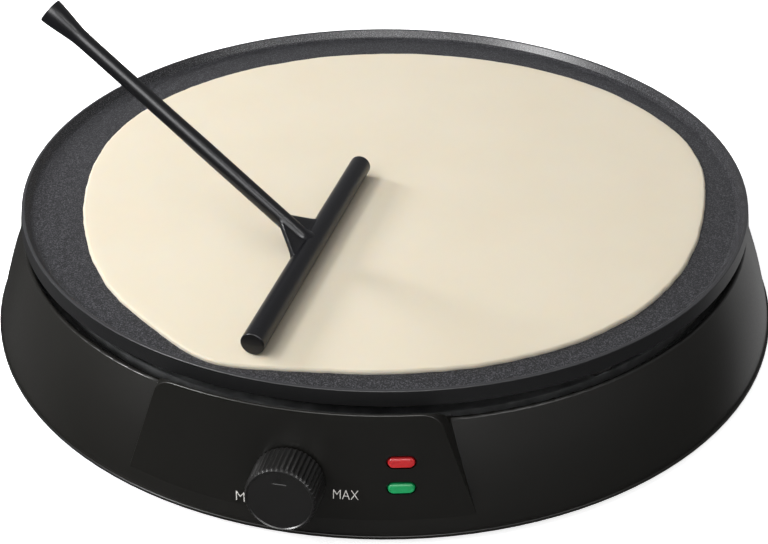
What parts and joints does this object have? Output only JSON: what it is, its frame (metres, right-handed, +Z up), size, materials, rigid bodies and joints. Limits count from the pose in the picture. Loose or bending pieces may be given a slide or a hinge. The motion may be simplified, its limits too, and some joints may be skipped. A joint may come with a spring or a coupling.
{
  "type": "electric crepe maker",
  "caption": "Round countertop crepe cooker: flat cast baking plate on a flared moulded base with a thermostat knob and signal lamps, and a T-shaped batter spreader.",
  "frame": {"origin": "on the table, at the middle of the part's bounding box in plan, which is the baking plate's axis", "axes": "+Z up, -Y towards the cook, so the control panel faces -Y; +X to the cook's right"},
  "size_m": [0.363, 0.3834, 0.158],
  "materials": {
    "moulded_black": "satin injection-moulded black heat-resistant plastic with a fine texture",
    "knob_black": "satin moulded black plastic",
    "coated_casting": "cast aluminium with a dark grey speckled non-stick coating",
    "wiper_plastic": "satin moulded black nylon",
    "rubber_foot": "moulded black rubber",
    "zinc_steel": "zinc-plated steel",
    "sheet_steel": "bright galvanised sheet",
    "heater_sheath": "dark heat-tinted stainless tube",
    "brass_turned": "turned brass",
    "steatite": "unglazed steatite",
    "silver_contact": "silver-faced contact",
    "red_lens": "polished clear red polycarbonate",
    "green_lens": "polished clear green polycarbonate",
    "lamp_glass": "clear neon lamp bulb",
    "white_nylon": "natural moulded nylon",
    "glass_sleeve": "woven glass-fibre sleeve",
    "batter": "thin crepe batter, moist and slightly glossy"
  },
  "bodies": {
    "base": {"baking_plate": "coated_casting", "bimetal_strip": "zinc_steel", "block_screws": "brass_turned", "bottom_cover": "moulded_black", "ceramic_beads": "steatite", "column_rivet": "brass_turned", "contact_buttons": "silver_contact", "contact_springs": "brass_turned", "cord_gland": "rubber_foot", "cover_screws": "zinc_steel", "crepe_batter": "batter", "earth_screw": "zinc_steel", "earth_tag": "brass_turned", "foot_front_left": "rubber_foot", "foot_front_right": "rubber_foot", "foot_rear_left": "rubber_foot", "foot_rear_right": "rubber_foot", "fuse_clip": "sheet_steel", "fuse_screw": "zinc_steel", "fuse_sleeve": "glass_sleeve", "green_lamp": "lamp_glass", "green_lens": "green_lens", "heat_shield": "sheet_steel", "heater_clip_screws": "zinc_steel", "heater_clips": "sheet_steel", "heater_pins": "zinc_steel", "heating_element": "heater_sheath", "housing": "moulded_black", "lamp_carrier": "white_nylon", "lamp_screws": "zinc_steel", "plate_screws": "zinc_steel", "plate_spacers": "steatite", "push_pin": "steatite", "red_lamp": "lamp_glass", "red_lens": "red_lens", "spindle_bush": "brass_turned", "terminal_block": "white_nylon", "thermal_fuse": "sheet_steel", "thermostat_bracket": "zinc_steel", "thermostat_leg": "zinc_steel", "thermostat_screw": "zinc_steel"},
    "knob": {"control_knob": "knob_black", "knob_clip": "zinc_steel", "thermostat_spindle": "zinc_steel", "adjusting_pin": "steatite"},
    "spreader": {"spreader_bar": "wiper_plastic", "spreader_handle": "wiper_plastic"}
  },
  "joints": [
    {"name": "knob_turn", "type": "hinge", "parent": "base", "child": "knob", "pos_m": [0, -0.17659, 0.0264], "axis": [0, -0.9899, 0.1414], "range_deg": [-104, 125]},
    {"name": "spreader_lift", "type": "slide", "parent": "base", "child": "spreader", "axis": [0, 0, 1], "range_m": [0, 0.12]}
  ]
}
